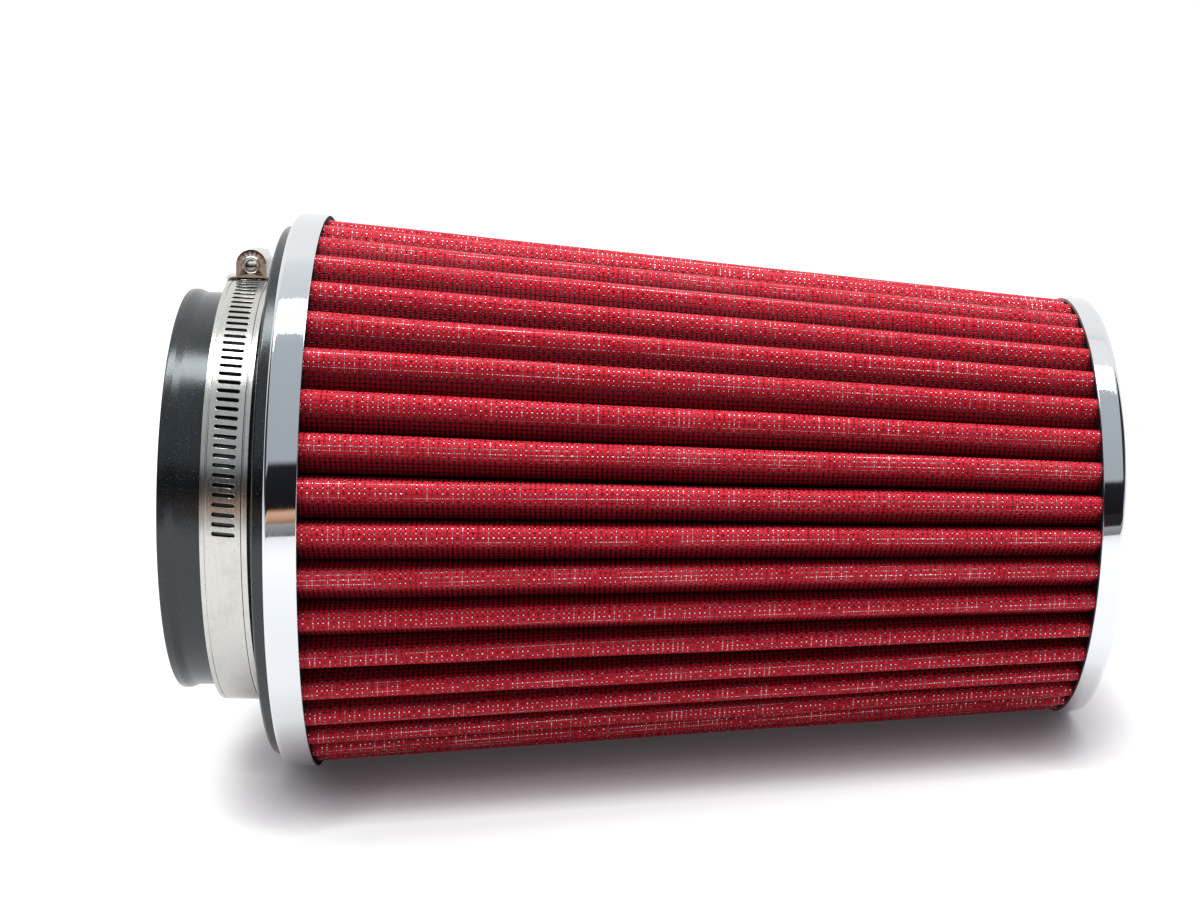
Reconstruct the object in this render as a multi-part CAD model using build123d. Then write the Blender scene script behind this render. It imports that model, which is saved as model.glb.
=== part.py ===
from build123d import *
import math
import os

# Cone air filter standing on its inlet neck: axis on +Z, mouth of the neck at Z = 0.
# All lengths are in millimetres and all angles in degrees.

# Inlet neck
bore_diameter = 101.6
neck_wall = 3.4
neck_length = 26.25
lip_rise = 0.9
lip_width = 2.1

# Flange and the potting ring behind it
base_diameter = 152.4
flange_inset = 3.4
flange_rim_height = 3.2
potting_recess = 0.2

# Chromed sheet-metal trim
sheet_metal = 0.5
bond_line = 0.05
trim_width = 8.55
trim_shoulder = 1.5
trim_lip_gap = 0.1
cap_diameter = 115.4
cap_height = 6.6
cap_shoulder = 2.2

# Folded filter media
pleat_count = 40
pleat_depth = 18.0
pleat_phase = 8.0
pleat_length = 202.4
media_thickness = 1.6
flank_lean = 2.5
crest_flat_count = 5
valley_flat_count = 3
crest_inset_at_base = 1.3
crest_inset_at_tip = 0.4
potting_band_at_tip = 0.2

# Worm-drive clamp on the neck
clamp_to_flange = 2.75
clamp_width = 12.0
clamp_thickness = 0.65
clamp_layer_gap = 0.15
clamp_seat_rise = 3.1
clamp_seat_inset = 0.6
clamp_fit = 0.05
clamp_angle = 188.0
clamp_tuck = 3.0
clamp_tail = 32.0
slotted_run = 95.0
slot_pitch = 2.48
slot_length = 5.9
slot_width = 1.1
slot_end_margin = 3.0

# Worm housing
housing_length = 13.0
housing_wall = 0.6
housing_clearance = 0.1
housing_hook = 0.45
arch_inner_radius = 3.5

# Worm screw
worm_axis_height = 3.6
worm_core_radius = 2.6
worm_end_play = 0.2
pilot_radius = 2.3
pilot_proud = 0.25
dimple_radius = 1.5
dimple_depth = 0.9
shank_radius = 2.0
running_fit = 0.06
head_gap = 1.5
head_across_flats = 7.0
head_height = 5.0
head_slot_width = 1.2
head_slot_depth = 1.6

# Radii and heights that follow
bore_radius = bore_diameter / 2
neck_radius = bore_radius + neck_wall
lip_radius = neck_radius + lip_rise
seat_radius = neck_radius + clamp_seat_rise
base_radius = base_diameter / 2
base_crest_radius = base_radius - crest_inset_at_base
flange_radius = base_radius - flange_inset
trim_front = neck_length + flange_rim_height
trim_back = trim_front + trim_width
media_base = trim_back - potting_recess
media_tip = media_base + pleat_length
cap_radius = cap_diameter / 2
tip_crest_radius = cap_radius - crest_inset_at_tip
cap_rim = media_tip + potting_band_at_tip
cap_top = cap_rim + cap_height
clamp_setback = neck_length - clamp_to_flange - clamp_width
clamp_middle = clamp_setback + clamp_width / 2

# The band is two half-round runs. The second is wider and off-centre by the same amount, so that it climbs over
# the tucked-in end by one thickness and a gap.
wrap_radius = seat_radius + clamp_fit + clamp_thickness / 2
climb = (clamp_thickness + clamp_layer_gap) / 2
tail_radius = wrap_radius + climb
band_top_radius = tail_radius + climb + clamp_thickness / 2


def turned(corners):
    """Solid of revolution about Z through corners given as a radius and a height."""
    return revolve(Plane.XZ * make_face(Polyline(*corners, close=True)), Axis.Z)


def make_base_flange():
    """Neck with its lip and clamp seat, flange and potting ring, cast as one piece."""
    seat_front = clamp_setback + clamp_seat_inset
    seat_back = clamp_setback + clamp_width - clamp_seat_inset
    skin = sheet_metal + bond_line
    return turned(
        [
            (bore_radius, 0),
            (lip_radius, 0),
            (lip_radius, lip_width),
            (neck_radius, lip_width + lip_rise),
            (neck_radius, seat_front),
            (seat_radius, seat_front),
            (seat_radius, seat_back),
            (neck_radius, seat_back),
            (neck_radius, neck_length),
            (flange_radius, neck_length),
            (flange_radius, trim_front + skin),
            (base_radius - trim_shoulder, trim_front + skin),
            (base_radius - skin, trim_front + trim_shoulder),
            (base_radius - skin, media_base),
            (bore_radius, media_base),
        ]
    )


def make_base_trim_ring():
    """Thin ring with a sloped front shoulder, closed over the potting ring."""
    lip_edge = flange_radius + trim_lip_gap
    return turned(
        [
            (lip_edge, trim_front),
            (base_radius - trim_shoulder, trim_front),
            (base_radius, trim_front + trim_shoulder),
            (base_radius, trim_back),
            (base_radius - sheet_metal, trim_back),
            (base_radius - sheet_metal, trim_front + trim_shoulder),
            (base_radius - trim_shoulder, trim_front + sheet_metal),
            (lip_edge, trim_front + sheet_metal),
        ]
    )


def make_tip_potting():
    """Disc that closes the small end of the pleats, up to the start of the cap's shoulder."""
    edge = cap_radius - sheet_metal - bond_line
    top = cap_top - cap_shoulder
    return turned([(0, media_tip), (edge, media_tip), (edge, top), (0, top)])


def make_end_cap():
    """Pressed cap with a sloped shoulder round a flat end."""
    inner_radius = cap_radius - sheet_metal
    return turned(
        [
            (0, cap_top),
            (cap_radius - cap_shoulder, cap_top),
            (cap_radius, cap_top - cap_shoulder),
            (cap_radius, cap_rim),
            (inner_radius, cap_rim),
            (inner_radius, cap_top - cap_shoulder),
            (cap_radius - cap_shoulder, cap_top - sheet_metal),
            (0, cap_top - sheet_metal),
        ]
    )


def polar(angle, radial, tangential):
    """Point at a radial and a tangential distance from the axis, seen from a given angle."""
    cosine = math.cos(math.radians(angle))
    sine = math.sin(math.radians(angle))
    return (radial * cosine - tangential * sine, radial * sine + tangential * cosine)


tail_centre = polar(clamp_angle + clamp_tuck, climb, 0)
worm_centre = Vector(*polar(clamp_angle, band_top_radius + worm_axis_height, 0)) + Vector(0, 0, clamp_middle)
worm_plane = Plane(worm_centre, x_dir=(0, 0, -1), z_dir=polar(clamp_angle, 0, -1) + (0,))


def pleat_outline(crest_radius, side):
    """Corners of the folded sheet, on its outer face for side = 1 and its inner face for side = -1.

    Each bend is rounded in flats on its outside and square on its inside.
    """
    half_pitch = 180 / pleat_count
    half_sheet = media_thickness / 2
    crest_lean = math.radians(flank_lean)
    valley_lean = math.radians(flank_lean + half_pitch)
    crest_middle = crest_radius - half_sheet
    valley_middle = crest_radius - pleat_depth + half_sheet
    spare = valley_middle * math.sin(valley_lean) - crest_middle * math.sin(crest_lean)
    fold_radius = spare / (2 - math.sin(valley_lean) - math.sin(crest_lean))
    crest_centre = crest_middle - fold_radius
    valley_centre = valley_middle + fold_radius
    outer_bend = fold_radius + half_sheet
    inner_bend = fold_radius - half_sheet
    points = []
    for fold in range(2 * pleat_count):
        angle = pleat_phase + half_pitch * fold
        crest = fold % 2 == 0
        way = 1 if crest else -1
        flats = crest_flat_count if crest else valley_flat_count
        centre = crest_centre if crest else valley_centre
        lean = crest_lean if crest else valley_lean
        if way == side:
            for step in range(flats + 1):
                turn = (math.pi / 2 - lean) * (2 * step / flats - 1)
                points.append(polar(angle, centre + way * outer_bend * math.cos(turn), outer_bend * math.sin(turn)))
        else:
            half = inner_bend * (1 - math.sin(lean)) / math.cos(lean)
            points.append(polar(angle, centre + way * inner_bend, -half))
            points.append(polar(angle, centre + way * inner_bend, half))
    return points


def make_pleated_media():
    """Sheet folded into pleats, straight from the wide end to the narrow one. All its faces are flat."""
    faces = []
    rims = {media_base: [], media_tip: []}
    for side in (1, -1):
        low = [Vector(x, y, media_base) for x, y in pleat_outline(base_crest_radius, side)]
        high = [Vector(x, y, media_tip) for x, y in pleat_outline(tip_crest_radius, side)]
        rims[media_base].append(Wire.make_polygon(low))
        rims[media_tip].append(Wire.make_polygon(high))
        for i in range(len(low)):
            faces.append(Face(Wire.make_polygon([low[i - 1], low[i], high[i], high[i - 1]])))
    faces += [Face(outer, [inner]) for outer, inner in rims.values()]
    return Solid(Shell(faces))


def make_clamp_band():
    """Strip wound once round the neck, its slotted tail passing over its tucked-in end."""
    start = clamp_angle + clamp_tuck
    finish = start - 180
    tail_sweep = 180 + clamp_tuck + math.degrees(clamp_tail / tail_radius)
    half = clamp_thickness / 2
    outer = [
        CenterArc((0, 0), wrap_radius + half, start, -180),
        CenterArc(tail_centre, tail_radius + half, finish, -tail_sweep),
    ]
    inner = [
        CenterArc((0, 0), wrap_radius - half, start, -180),
        CenterArc(tail_centre, tail_radius - half, finish, -tail_sweep),
    ]
    ends = [Line(outer[0] @ 0, inner[0] @ 0), Line(outer[1] @ 1, inner[1] @ 1)]
    section = Pos(0, 0, clamp_setback) * Face(Wire(outer + inner + ends))
    strip = extrude(section, clamp_width, dir=(0, 0, 1))
    pitch_angle = math.degrees(slot_pitch / tail_radius)
    first = -int((clamp_tail - slot_end_margin) / slot_pitch)
    last = int(slotted_run / slot_pitch)
    overcut = clamp_layer_gap / 4
    slot = extrude(Rectangle(slot_length, slot_width), half + overcut, both=True)
    cutters = []
    for number in range(first, last + 1):
        angle = clamp_angle + number * pitch_angle
        outward = Vector(*polar(angle, 1, 0))
        centre = Vector(*tail_centre) + outward * tail_radius + Vector(0, 0, clamp_middle)
        cutters.append(Plane(centre, x_dir=(0, 0, 1), z_dir=outward) * slot)
    return strip - cutters


def arch_face(radius, reach):
    """Half round on straight legs that reach below its centre."""
    return Face(
        Wire(
            [
                Line((-radius, -reach), (radius, -reach)),
                Line((radius, -reach), (radius, 0)),
                ThreePointArc((radius, 0), (0, radius), (-radius, 0)),
                Line((-radius, 0), (-radius, -reach)),
            ]
        )
    )


def make_clamp_housing():
    """Arch over the worm with an end wall at each end, on feet that hook round the edges of the band."""
    arch_outer_radius = arch_inner_radius + housing_wall
    reach = worm_axis_height - housing_clearance
    half_length = housing_length / 2
    section = arch_face(arch_outer_radius, reach)
    legs = extrude(section - arch_face(arch_inner_radius, reach), half_length, both=True)
    wall = extrude(section, housing_wall)
    pilot_wall = Pos(0, 0, -half_length) * wall
    shank_wall = Pos(0, 0, half_length - housing_wall) * wall
    pilot_hole = Pos(0, 0, -half_length) * Cylinder(pilot_radius + running_fit, 2 * housing_wall + half_length)
    shank_hole = Pos(0, 0, half_length) * Cylinder(shank_radius + running_fit, 2 * housing_wall + half_length)
    arch = worm_plane * (legs + pilot_wall + shank_wall - pilot_hole - shank_hole)
    plate_bottom = band_top_radius + housing_clearance
    plate_top = plate_bottom + housing_wall
    hook_top = seat_radius - 2 * housing_clearance
    hook_bottom = hook_top - housing_wall
    sweep = 2 * math.degrees(half_length / plate_top)
    feet = []
    for side in (-1, 1):
        edge = clamp_middle + side * (clamp_width / 2 + housing_clearance)
        outside = edge + side * housing_wall
        hook_tip = edge - side * housing_hook
        leg = clamp_middle + side * (arch_inner_radius + housing_wall / 2)
        outline = Polyline(
            (plate_bottom, leg),
            (plate_top, leg),
            (plate_top, outside),
            (hook_bottom, outside),
            (hook_bottom, hook_tip),
            (hook_top, hook_tip),
            (hook_top, edge),
            (plate_bottom, edge),
            close=True,
        )
        foot = revolve(Plane.XZ * make_face(outline), Axis.Z, sweep)
        feet.append(Rot(0, 0, clamp_angle - sweep / 2) * foot)
    return arch + feet


def make_clamp_screw():
    """Worm core between a dimpled pilot and a slotted hexagon head."""
    wall_face = housing_length / 2
    core_end = wall_face - housing_wall - worm_end_play
    head_start = wall_face + head_gap
    upward = (Align.CENTER, Align.CENTER, Align.MIN)
    core = Cylinder(worm_core_radius, 2 * core_end)
    pilot = Pos(0, 0, -wall_face - pilot_proud) * Cylinder(pilot_radius, wall_face, align=upward)
    dimple = Pos(0, 0, -wall_face - pilot_proud) * Cone(dimple_radius, 0, dimple_depth, align=upward)
    shank = Cylinder(shank_radius, head_start + head_height / 2, align=upward)
    corner_radius = head_across_flats / math.sqrt(3)
    hexagon = extrude(RegularPolygon(corner_radius, 6), head_height)
    head_slot = Pos(0, 0, head_height) * Box(head_slot_width, 4 * corner_radius, 2 * head_slot_depth)
    head = Pos(0, 0, head_start) * (hexagon - head_slot)
    return worm_plane * (core + pilot + shank + head - dimple)


os.makedirs("parts", exist_ok=True)
for node, shape in {
    "base_flange": make_base_flange(),
    "base_trim_ring": make_base_trim_ring(),
    "pleated_media": make_pleated_media(),
    "tip_potting": make_tip_potting(),
    "end_cap": make_end_cap(),
    "clamp_band": make_clamp_band(),
    "clamp_housing": make_clamp_housing(),
    "clamp_screw": make_clamp_screw(),
}.items():
    export_step(shape, f"parts/{node}.step")
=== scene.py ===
import math
import random

import bpy
import bmesh
from mathutils import Matrix, Vector, noise


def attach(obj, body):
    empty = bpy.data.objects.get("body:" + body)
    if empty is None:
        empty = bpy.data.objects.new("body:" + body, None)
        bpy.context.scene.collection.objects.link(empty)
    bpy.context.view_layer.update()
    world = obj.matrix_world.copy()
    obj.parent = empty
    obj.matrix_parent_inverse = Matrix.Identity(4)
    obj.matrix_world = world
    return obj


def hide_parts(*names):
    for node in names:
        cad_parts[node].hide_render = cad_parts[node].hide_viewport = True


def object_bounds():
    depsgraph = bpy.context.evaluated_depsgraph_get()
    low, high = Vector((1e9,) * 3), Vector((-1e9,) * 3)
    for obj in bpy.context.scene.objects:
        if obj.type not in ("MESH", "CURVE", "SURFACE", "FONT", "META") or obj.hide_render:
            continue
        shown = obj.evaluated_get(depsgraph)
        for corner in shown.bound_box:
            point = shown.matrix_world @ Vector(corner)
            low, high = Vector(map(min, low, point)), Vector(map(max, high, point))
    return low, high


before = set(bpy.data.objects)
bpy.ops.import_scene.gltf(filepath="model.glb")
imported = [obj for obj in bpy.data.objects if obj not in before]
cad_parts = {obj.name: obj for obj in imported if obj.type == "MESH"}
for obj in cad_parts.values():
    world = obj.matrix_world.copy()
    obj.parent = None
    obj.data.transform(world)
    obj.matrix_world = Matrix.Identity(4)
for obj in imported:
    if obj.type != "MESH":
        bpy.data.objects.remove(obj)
cad_low, cad_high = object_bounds()

# Sizes are in millimetres, as in the part's source, and are scaled to metres when a mesh is made.
MM = 0.001
MERGE_DISTANCE = 0.001 * MM
TURN_SEGMENTS = 288
SHOULDER_STEPS = 12

# Camera, from the photograph. The neck's mouth and the axis are given in camera axes: right, up and back.
IMAGE_WIDTH = 1200
FOCAL_PIXELS = 2249.5
SENSOR_WIDTH = 36.0
MOUTH_IN_VIEW = Vector((-113.5, -10.2, -624.4))
AXIS_IN_VIEW = Vector((0.9996, -0.0194, -0.0192))
CAMERA_ELEVATION = 15.0

# Rubber base
BORE_RADIUS = 50.8
NECK_RADIUS = 54.2
LIP_RADIUS = 55.1
LIP_WIDTH = 2.1
LIP_SLOPE = 2.2
SEAT_RADIUS = 57.3
SEAT_FRONT = 12.1
SEAT_BACK = 22.9
NECK_LENGTH = 26.25
FLANGE_RADIUS = 72.8

# Chromed trim
SHEET_METAL = 0.5
BOND_LINE = 0.05
BASE_RADIUS = 76.2
TRIM_FRONT = 29.45
TRIM_BACK = 38.0
TRIM_LIP_RADIUS = 72.9
TRIM_SHOULDER = 1.5
CAP_RADIUS = 57.7
CAP_RIM = 240.4
CAP_TOP = 247.0
CAP_SHOULDER = 2.2

# Folded media
PLEAT_COUNT = 40
PLEAT_DEPTH = 18.0
PLEAT_PHASE = 8.0
MEDIA_BASE = 37.8
MEDIA_TIP = 240.2
MEDIA_THICKNESS = 1.6
BASE_CREST_RADIUS = 74.9
TIP_CREST_RADIUS = 57.3
CREST_BEND_SHARE = 0.25
MOUTH_DEPTH_SHARE = 0.54
STEEP_FLANK = 6.0
SLACK_FLANK = 42.0
CREASE_ANGLE = 32.0
CREST_LEAN = 1.47
VALLEY_BEND = 0.35
WIRES_PER_PLEAT = 30
WIRE_PITCH = 1.27
WEAVE_DRIFT = 70.0

# Band of the worm clamp
CLAMP_FRONT = 11.5
CLAMP_WIDTH = 12.0
CLAMP_THICKNESS = 0.65
CLAMP_ANGLE = 188.0
CLAMP_TUCK = 3.0
CLAMP_TAIL = 32.0
WRAP_RADIUS = 57.675
CLIMB = 0.4
SLOT_PITCH = 2.48
SLOT_LENGTH = 5.9
SLOT_WIDTH = 1.1
SLOT_SKEW = 4.6
SLOTS_PAST_WORM = 11
SLOTS_BEFORE_WORM = 38
CLAMP_MIDDLE = CLAMP_FRONT + CLAMP_WIDTH / 2
TAIL_RADIUS = WRAP_RADIUS + CLIMB

# Distance from the band's edge and drop of the surface there, for a shallow rolled line along the edge
EDGE_ROWS = [(0.0, 0.0), (0.6, 0.0), (1.1, 0.0), (1.3, 0.1), (1.45, 0.1), (1.65, 0.0)]

# Worm screw. Its starts and ends are measured along it, from the middle of the housing.
WORM_AXIS_RADIUS = 62.4
WORM_CORE_END = 5.7
WORM_CORE_RADIUS = 2.45
WORM_CREST_RADIUS = 3.3
PILOT_RADIUS = 2.3
PILOT_END = 6.75
SHANK_RADIUS = 2.0
HEAD_START = 8.0
HEAD_END = 13.0
HEAD_ACROSS_FLATS = 7.0


def place_object(name, data):
    """New object in the scene."""
    obj = bpy.data.objects.new(name, data)
    bpy.context.scene.collection.objects.link(obj)
    return obj


def new_object(name, vertices, faces, material, body="filter"):
    """Mesh object from points in millimetres, riding on a body."""
    mesh = bpy.data.meshes.new(name)
    mesh.from_pydata([Vector(v) * MM for v in vertices], [], faces)
    mesh.update()
    obj = place_object(name, mesh)
    mesh.materials.append(material)
    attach(obj, body)
    return obj


def smooth(obj, angle=35.0):
    """Smooth shading that keeps edges sharper than an angle."""
    obj.data.shade_smooth()
    obj.data.set_sharp_from_angle(angle=math.radians(angle))


def settle(piece):
    """Turns the modifiers of a piece into its mesh."""
    seen = piece.evaluated_get(bpy.context.evaluated_depsgraph_get())
    mesh = bpy.data.meshes.new_from_object(seen)
    piece.modifiers.clear()
    piece.data = mesh


def face_outward(mesh, merge=True):
    """Turns all faces of a mesh outward, after joining points that coincide."""
    clean = bmesh.new()
    clean.from_mesh(mesh)
    if merge:
        bmesh.ops.remove_doubles(clean, verts=clean.verts, dist=MERGE_DISTANCE)
    bmesh.ops.recalc_face_normals(clean, faces=clean.faces)
    clean.to_mesh(mesh)
    clean.free()


def break_edges(piece, width, segments, angle):
    """Bevels the edges of a piece that are sharper than an angle."""
    edges = piece.modifiers.new("edges", "BEVEL")
    edges.width = width * MM
    edges.segments = segments
    edges.limit_method = "ANGLE"
    edges.angle_limit = math.radians(angle)


def shade_as_hoop(mesh):
    """Shades the faces that lie on a hoop round Z as round ones and leaves the cut edges flat."""
    mesh.shade_smooth()
    on_hoop = 0.97
    normals = []
    for face in mesh.polygons:
        for index in face.vertices:
            place = mesh.vertices[index].co
            outward = Vector((place.x, place.y, 0.0)).normalized()
            facing = face.normal.dot(outward)
            if abs(facing) < on_hoop:
                normals.append(face.normal.copy())
            else:
                normals.append(outward * math.copysign(1.0, facing))
    mesh.normals_split_custom_set(normals)


def rounded(corners, steps=6):
    """Closed outline of (radius, height, rounding) corners with each rounding turned into short steps."""
    outline = []
    count = len(corners)
    for index in range(count):
        corner = Vector(corners[index][:2])
        rounding = corners[index][2]
        if rounding == 0:
            outline.append(tuple(corner))
            continue
        before = (Vector(corners[index - 1][:2]) - corner).normalized()
        after = (Vector(corners[(index + 1) % count][:2]) - corner).normalized()
        half = math.acos(max(-1.0, min(1.0, before.dot(after)))) / 2
        reach = rounding / math.tan(half)
        centre = corner + (before + after).normalized() * (rounding / math.sin(half))
        first = corner + before * reach - centre
        last = corner + after * reach - centre
        sweep = first.angle_signed(last)
        for step in range(steps + 1):
            turn = Matrix.Rotation(-sweep * step / steps, 2)
            outline.append(tuple(centre + turn @ first))
    return outline


def turned(name, outline, material):
    """Piece of revolution about the axis, from a closed outline of (radius, height) points."""
    vertices = []
    faces = []
    count = len(outline)
    for step in range(TURN_SEGMENTS):
        angle = 2 * math.pi * step / TURN_SEGMENTS
        for radius, height in outline:
            vertices.append((radius * math.cos(angle), radius * math.sin(angle), height))
    for step in range(TURN_SEGMENTS):
        here = step * count
        there = (step + 1) % TURN_SEGMENTS * count
        for index in range(count):
            following = (index + 1) % count
            faces.append((here + index, there + index, there + following, here + following))
    obj = new_object(name, vertices, faces, material)
    face_outward(obj.data)
    smooth(obj)
    return obj


class Tree:
    """Short calls for building one node tree."""

    def __init__(self, tree):
        self.tree = tree
        tree.nodes.clear()

    def node(self, kind, **settings):
        made = self.tree.nodes.new(kind)
        for name, value in settings.items():
            setattr(made, name, value)
        return made

    def feed(self, socket, value):
        """Links a socket, or sets a plain number, colour or vector on it."""
        if isinstance(value, bpy.types.NodeSocket):
            self.tree.links.new(value, socket)
        else:
            socket.default_value = value

    def math(self, operation, *values):
        made = self.node("ShaderNodeMath", operation=operation)
        for socket, value in zip(made.inputs, values):
            self.feed(socket, value)
        return made.outputs[0]

    def dot(self, vector, constant):
        made = self.node("ShaderNodeVectorMath", operation="DOT_PRODUCT")
        self.feed(made.inputs[0], vector)
        made.inputs[1].default_value = constant
        return made.outputs["Value"]

    def scaled(self, vector, factors):
        made = self.node("ShaderNodeVectorMath", operation="MULTIPLY")
        self.feed(made.inputs[0], vector)
        made.inputs[1].default_value = factors
        return made.outputs["Vector"]

    def spread(self, value, low, high, to_low=0.0, to_high=1.0, kind="SMOOTHSTEP"):
        made = self.node("ShaderNodeMapRange", interpolation_type=kind)
        for socket, item in zip(made.inputs, (value, low, high, to_low, to_high)):
            self.feed(socket, item)
        return made.outputs[0]

    def noise(self, vector, scale, detail=2.0, roughness=0.5):
        made = self.node("ShaderNodeTexNoise")
        self.feed(made.inputs["Vector"], vector)
        made.inputs["Scale"].default_value = scale
        made.inputs["Detail"].default_value = detail
        made.inputs["Roughness"].default_value = roughness
        return made.outputs["Fac"]

    def chance(self, value, share):
        """1 or 0 by lot for each whole number that a value is nearest to, with a share of zeros."""
        made = self.node("ShaderNodeTexWhiteNoise", noise_dimensions="1D")
        self.feed(made.inputs["W"], self.math("ROUND", value))
        return self.math("GREATER_THAN", made.outputs["Value"], share)

    def mix(self, factor, first, second):
        made = self.node("ShaderNodeMix", data_type="RGBA")
        self.feed(made.inputs[0], factor)
        self.feed(made.inputs[6], first)
        self.feed(made.inputs[7], second)
        return made.outputs[2]

    def bump(self, height, distance, strength=1.0):
        made = self.node("ShaderNodeBump")
        made.inputs["Strength"].default_value = strength
        made.inputs["Distance"].default_value = distance
        self.feed(made.inputs["Height"], height)
        return made.outputs["Normal"]

    def place(self, kind):
        return self.node("ShaderNodeTexCoord").outputs[kind]


def new_material(name):
    """Empty node material with a Principled shader on its output, as (material, tree, shader)."""
    material = bpy.data.materials.new(name)
    material.use_nodes = True
    tree = Tree(material.node_tree)
    shader = tree.node("ShaderNodeBsdfPrincipled")
    output = tree.node("ShaderNodeOutputMaterial")
    tree.feed(output.inputs["Surface"], shader.outputs[0])
    return material, tree, shader


def polar(angle, radial, tangential=0.0):
    """Point at a radial and a tangential distance from the axis, seen from an angle in degrees."""
    cosine = math.cos(math.radians(angle))
    sine = math.sin(math.radians(angle))
    return (radial * cosine - tangential * sine, radial * sine + tangential * cosine)


# Materials
def make_rubber():
    """Moulded black urethane: satin, with a fine grain and light dust."""
    material, tree, shader = new_material("black_urethane")
    place = tree.place("Object")
    grain = tree.noise(place, scale=2200.0, detail=3.0, roughness=0.6)
    cloud = tree.noise(place, scale=60.0, detail=4.0, roughness=0.55)
    speck = tree.spread(tree.noise(place, scale=2600.0, detail=1.0), 0.62, 0.72)
    base = tree.mix(cloud, (0.0035, 0.004, 0.0048, 1), (0.007, 0.008, 0.0095, 1))
    dusty = tree.mix(speck, base, (0.045, 0.05, 0.056, 1))
    tree.feed(shader.inputs["Base Color"], dusty)
    tree.feed(shader.inputs["Roughness"], tree.spread(cloud, 0.3, 0.7, 0.15, 0.22))
    shader.inputs["Specular Tint"].default_value = (0.86, 0.95, 1.0, 1)
    shader.inputs["Specular IOR Level"].default_value = 0.75
    tree.feed(shader.inputs["Normal"], tree.bump(grain, distance=0.00005, strength=0.4))
    return material


def make_potting():
    """Poured face of the same urethane against the media: dull and slightly uneven."""
    material, tree, shader = new_material("poured_urethane")
    ripple = tree.noise(tree.place("Object"), scale=240.0, detail=3.0, roughness=0.55)
    base = tree.mix(ripple, (0.003, 0.003, 0.004, 1), (0.007, 0.007, 0.008, 1))
    tree.feed(shader.inputs["Base Color"], base)
    tree.feed(shader.inputs["Roughness"], tree.spread(ripple, 0.3, 0.7, 0.6, 0.75))
    shader.inputs["Specular IOR Level"].default_value = 0.15
    tree.feed(shader.inputs["Normal"], tree.bump(ripple, distance=0.0002, strength=0.4))
    return material


def make_chrome():
    """Bright chrome plate on pressed sheet, with slight waves and a few rub marks."""
    material, tree, shader = new_material("chrome")
    place = tree.place("Object")
    waves = tree.noise(place, scale=45.0, detail=0.0)
    rubs = tree.noise(tree.scaled(place, (1.0, 1.0, 14.0)), scale=260.0, detail=4.0, roughness=0.65)
    shader.inputs["Metallic"].default_value = 1.0
    plate = tree.mix(waves, (0.74, 0.76, 0.79, 1), (0.80, 0.815, 0.835, 1))
    tree.feed(shader.inputs["Base Color"], plate)
    tree.feed(shader.inputs["Roughness"], tree.spread(rubs, 0.35, 0.75, 0.02, 0.1))
    tree.feed(shader.inputs["Normal"], tree.bump(waves, distance=0.0012, strength=0.08))
    return material


def make_stainless(name, smudge, gloss):
    """Satin stainless strip: fine drawn lines along the band, with handling smudges."""
    material, tree, shader = new_material(name)
    place = tree.place("Object")
    film_strength = 0.35
    mark_strength = 0.4
    lines = tree.noise(tree.scaled(place, (14.0, 14.0, 900.0)), scale=8.0, detail=3.0, roughness=0.6)
    cloud = tree.noise(place, scale=90.0, detail=5.0, roughness=0.65)
    spots = tree.spread(tree.noise(place, scale=1400.0, detail=2.0, roughness=0.6), 0.6, 0.75)
    film = tree.math("MULTIPLY", tree.spread(cloud, 0.45, 0.7), film_strength * smudge)
    shader.inputs["Metallic"].default_value = 1.0
    clean = tree.mix(lines, (0.56, 0.55, 0.515, 1), (0.74, 0.73, 0.695, 1))
    filmed = tree.mix(film, clean, (0.46, 0.445, 0.39, 1))
    marks = tree.math("MULTIPLY", spots, mark_strength * smudge)
    tree.feed(shader.inputs["Base Color"], tree.mix(marks, filmed, (0.34, 0.32, 0.28, 1)))
    tree.feed(shader.inputs["Roughness"], tree.spread(lines, 0.3, 0.7, gloss, gloss + 0.08))
    tree.feed(shader.inputs["Normal"], tree.bump(lines, distance=0.00003, strength=0.5))
    return material


def make_shaded_cut_edge():
    """Punched and sheared stainless edges: rough, and painted dark grey as shade inside the slots and along
    the band's sides.
    """
    material, tree, shader = new_material("shaded_cut_edge")
    grain = tree.noise(tree.place("Object"), scale=1800.0, detail=3.0, roughness=0.6)
    shader.inputs["Metallic"].default_value = 1.0
    base = tree.mix(grain, (0.10, 0.097, 0.09, 1), (0.20, 0.195, 0.18, 1))
    tree.feed(shader.inputs["Base Color"], base)
    tree.feed(shader.inputs["Roughness"], tree.spread(grain, 0.3, 0.7, 0.45, 0.6))
    return material


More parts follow.
